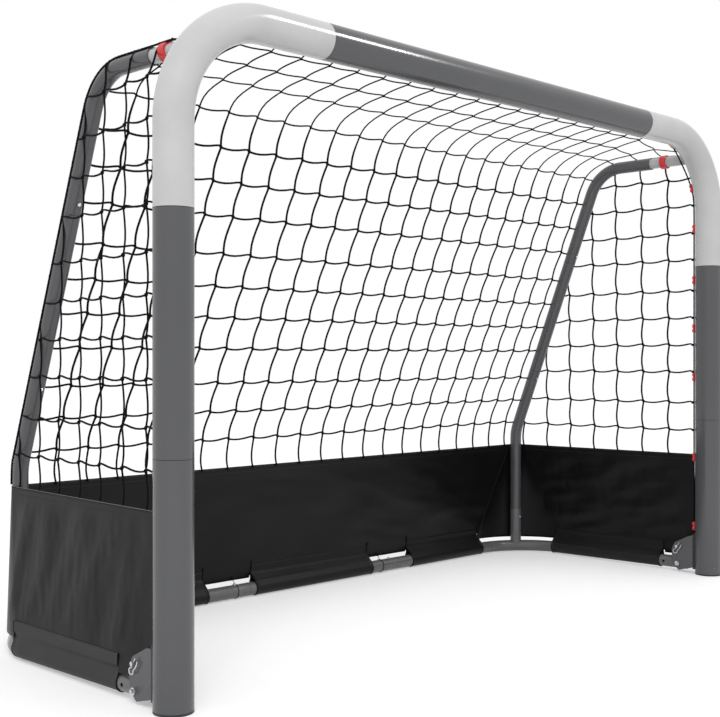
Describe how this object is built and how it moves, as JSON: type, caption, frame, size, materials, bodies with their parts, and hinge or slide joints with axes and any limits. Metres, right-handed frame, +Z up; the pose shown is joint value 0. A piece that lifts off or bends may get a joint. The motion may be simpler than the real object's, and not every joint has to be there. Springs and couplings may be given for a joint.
{
  "type": "hockey goal",
  "caption": "Folding tubular hockey goal with white corner bends, rear arms, hinged floor frame, square-mesh net and cloth skirt.",
  "frame": {"origin": "on the floor, below the middle of the goal's outline", "axes": "+X along the crossbar, +Y from the goal mouth to the back, +Z up"},
  "size_m": [1.978, 0.7518, 1.294],
  "materials": {
    "grey_paint": "satin",
    "white_plastic": "gloss",
    "light_grey_paint": "satin",
    "red_plastic": "gloss",
    "black_plastic": "matte",
    "black_cloth": "woven",
    "net_cord": "braided",
    "zinc": "zinc plated"
  },
  "bodies": {
    "rear_frame": {"arm_lower_left": "grey_paint", "arm_lower_right": "grey_paint", "arm_middle_left": "grey_paint", "arm_middle_right": "grey_paint", "arm_upper_left": "grey_paint", "arm_upper_right": "grey_paint", "base_left": "grey_paint", "base_right": "grey_paint", "net_back": "net_cord", "net_side_left": "net_cord", "net_side_right": "net_cord", "rear_bar_centre": "grey_paint", "skirt_rear": "black_cloth", "skirt_side_left": "black_cloth", "skirt_side_right": "black_cloth"},
    "front_frame": {"bracket_rivets_left": "zinc", "bracket_rivets_right": "zinc", "corner_bend_left": "white_plastic", "corner_bend_right": "white_plastic", "crossbar_left": "grey_paint", "crossbar_right": "grey_paint", "foot_cap_left": "black_plastic", "foot_cap_right": "black_plastic", "hinge_bracket_left": "grey_paint", "hinge_bracket_right": "grey_paint", "hinge_pad_left": "black_plastic", "hinge_pad_right": "black_plastic", "net_clips": "red_plastic", "net_rope": "net_cord", "pivot_bolt_left": "zinc", "pivot_bolt_right": "zinc", "post_lower_left": "grey_paint", "post_lower_right": "grey_paint", "post_upper_left": "grey_paint", "post_upper_right": "grey_paint", "spigot_ring_left": "red_plastic", "spigot_ring_right": "red_plastic", "top_spigot_left": "light_grey_paint", "top_spigot_right": "light_grey_paint"},
    "lock_clip_left": {"lock_clip_left": "zinc"},
    "lock_clip_right": {"lock_clip_right": "zinc"},
    "lock_pin_left": {"lock_pin_left": "zinc"},
    "lock_pin_right": {"lock_pin_right": "zinc"},
    "button_arm_foot_left": {"button_arm_foot_left": "zinc"},
    "button_arm_foot_right": {"button_arm_foot_right": "zinc"},
    "button_arm_lower_left": {"button_arm_lower_left": "zinc"},
    "button_arm_lower_right": {"button_arm_lower_right": "zinc"},
    "button_arm_upper_left": {"button_arm_upper_left": "zinc"},
    "button_arm_upper_right": {"button_arm_upper_right": "zinc"},
    "button_bar_left": {"button_bar_left": "zinc"},
    "button_bar_right": {"button_bar_right": "zinc"},
    "button_crossbar_end_left": {"button_crossbar_end_left": "zinc"},
    "button_crossbar_end_right": {"button_crossbar_end_right": "zinc"},
    "button_crossbar_middle": {"button_crossbar_middle": "zinc"},
    "button_post_middle_left": {"button_post_middle_left": "zinc"},
    "button_post_middle_right": {"button_post_middle_right": "zinc"},
    "button_post_top_left": {"button_post_top_left": "zinc"},
    "button_post_top_right": {"button_post_top_right": "zinc"}
  },
  "joints": [
    {"name": "front_tip", "type": "hinge", "parent": "rear_frame", "child": "front_frame", "pos_m": [0, -0.2529, 0.0245], "axis": [1, 0, 0], "range_deg": [0, 4]},
    {"name": "lock_pin_left_turn", "type": "hinge", "parent": "front_frame", "child": "lock_pin_left", "pos_m": [-0.952, -0.2529, 0.0745], "axis": [1, 0, 0], "continuous": true},
    {"name": "lock_clip_left_pull", "type": "slide", "parent": "lock_pin_left", "child": "lock_clip_left", "axis": [0, 0.5736, -0.8192], "range_m": [0, 0.02]},
    {"name": "lock_pin_right_turn", "type": "hinge", "parent": "front_frame", "child": "lock_pin_right", "pos_m": [0.952, -0.2529, 0.0745], "axis": [1, 0, 0], "continuous": true},
    {"name": "lock_clip_right_pull", "type": "slide", "parent": "lock_pin_right", "child": "lock_clip_right", "axis": [0, 0.5736, -0.8192], "range_m": [0, 0.02]},
    {"name": "button_arm_foot_left_press", "type": "slide", "parent": "rear_frame", "child": "button_arm_foot_left", "axis": [0, 1, 0], "range_m": [0, 0.0052], "stiffness_N_per_m": 2500, "springref_m": -0.002},
    {"name": "button_arm_foot_right_press", "type": "slide", "parent": "rear_frame", "child": "button_arm_foot_right", "axis": [0, 1, 0], "range_m": [0, 0.0052], "stiffness_N_per_m": 2500, "springref_m": -0.002},
    {"name": "button_arm_lower_left_press", "type": "slide", "parent": "rear_frame", "child": "button_arm_lower_left", "axis": [0, 0.9308, 0.3655], "range_m": [0, 0.0052], "stiffness_N_per_m": 2500, "springref_m": -0.002},
    {"name": "button_arm_lower_right_press", "type": "slide", "parent": "rear_frame", "child": "button_arm_lower_right", "axis": [0, 0.9308, 0.3655], "range_m": [0, 0.0052], "stiffness_N_per_m": 2500, "springref_m": -0.002},
    {"name": "button_arm_upper_left_press", "type": "slide", "parent": "rear_frame", "child": "button_arm_upper_left", "axis": [0, 0.9308, 0.3655], "range_m": [0, 0.0052], "stiffness_N_per_m": 2500, "springref_m": -0.002},
    {"name": "button_arm_upper_right_press", "type": "slide", "parent": "rear_frame", "child": "button_arm_upper_right", "axis": [0, 0.9308, 0.3655], "range_m": [0, 0.0052], "stiffness_N_per_m": 2500, "springref_m": -0.002},
    {"name": "button_bar_left_press", "type": "slide", "parent": "rear_frame", "child": "button_bar_left", "axis": [0, 0, -1], "range_m": [0, 0.0052], "stiffness_N_per_m": 2500, "springref_m": -0.002},
    {"name": "button_bar_right_press", "type": "slide", "parent": "rear_frame", "child": "button_bar_right", "axis": [0, 0, -1], "range_m": [0, 0.0052], "stiffness_N_per_m": 2500, "springref_m": -0.002},
    {"name": "button_crossbar_end_left_press", "type": "slide", "parent": "front_frame", "child": "button_crossbar_end_left", "axis": [0, -1, 0], "range_m": [0, 0.0052], "stiffness_N_per_m": 2500, "springref_m": -0.002},
    {"name": "button_crossbar_end_right_press", "type": "slide", "parent": "front_frame", "child": "button_crossbar_end_right", "axis": [0, -1, 0], "range_m": [0, 0.0052], "stiffness_N_per_m": 2500, "springref_m": -0.002},
    {"name": "button_crossbar_middle_press", "type": "slide", "parent": "front_frame", "child": "button_crossbar_middle", "axis": [0, -1, 0], "range_m": [0, 0.0052], "stiffness_N_per_m": 2500, "springref_m": -0.002},
    {"name": "button_post_middle_left_press", "type": "slide", "parent": "front_frame", "child": "button_post_middle_left", "axis": [0, -1, 0], "range_m": [0, 0.0052], "stiffness_N_per_m": 2500, "springref_m": -0.002},
    {"name": "button_post_middle_right_press", "type": "slide", "parent": "front_frame", "child": "button_post_middle_right", "axis": [0, -1, 0], "range_m": [0, 0.0052], "stiffness_N_per_m": 2500, "springref_m": -0.002},
    {"name": "button_post_top_left_press", "type": "slide", "parent": "front_frame", "child": "button_post_top_left", "axis": [0, -1, 0], "range_m": [0, 0.0052], "stiffness_N_per_m": 2500, "springref_m": -0.002},
    {"name": "button_post_top_right_press", "type": "slide", "parent": "front_frame", "child": "button_post_top_right", "axis": [0, -1, 0], "range_m": [0, 0.0052], "stiffness_N_per_m": 2500, "springref_m": -0.002}
  ]
}
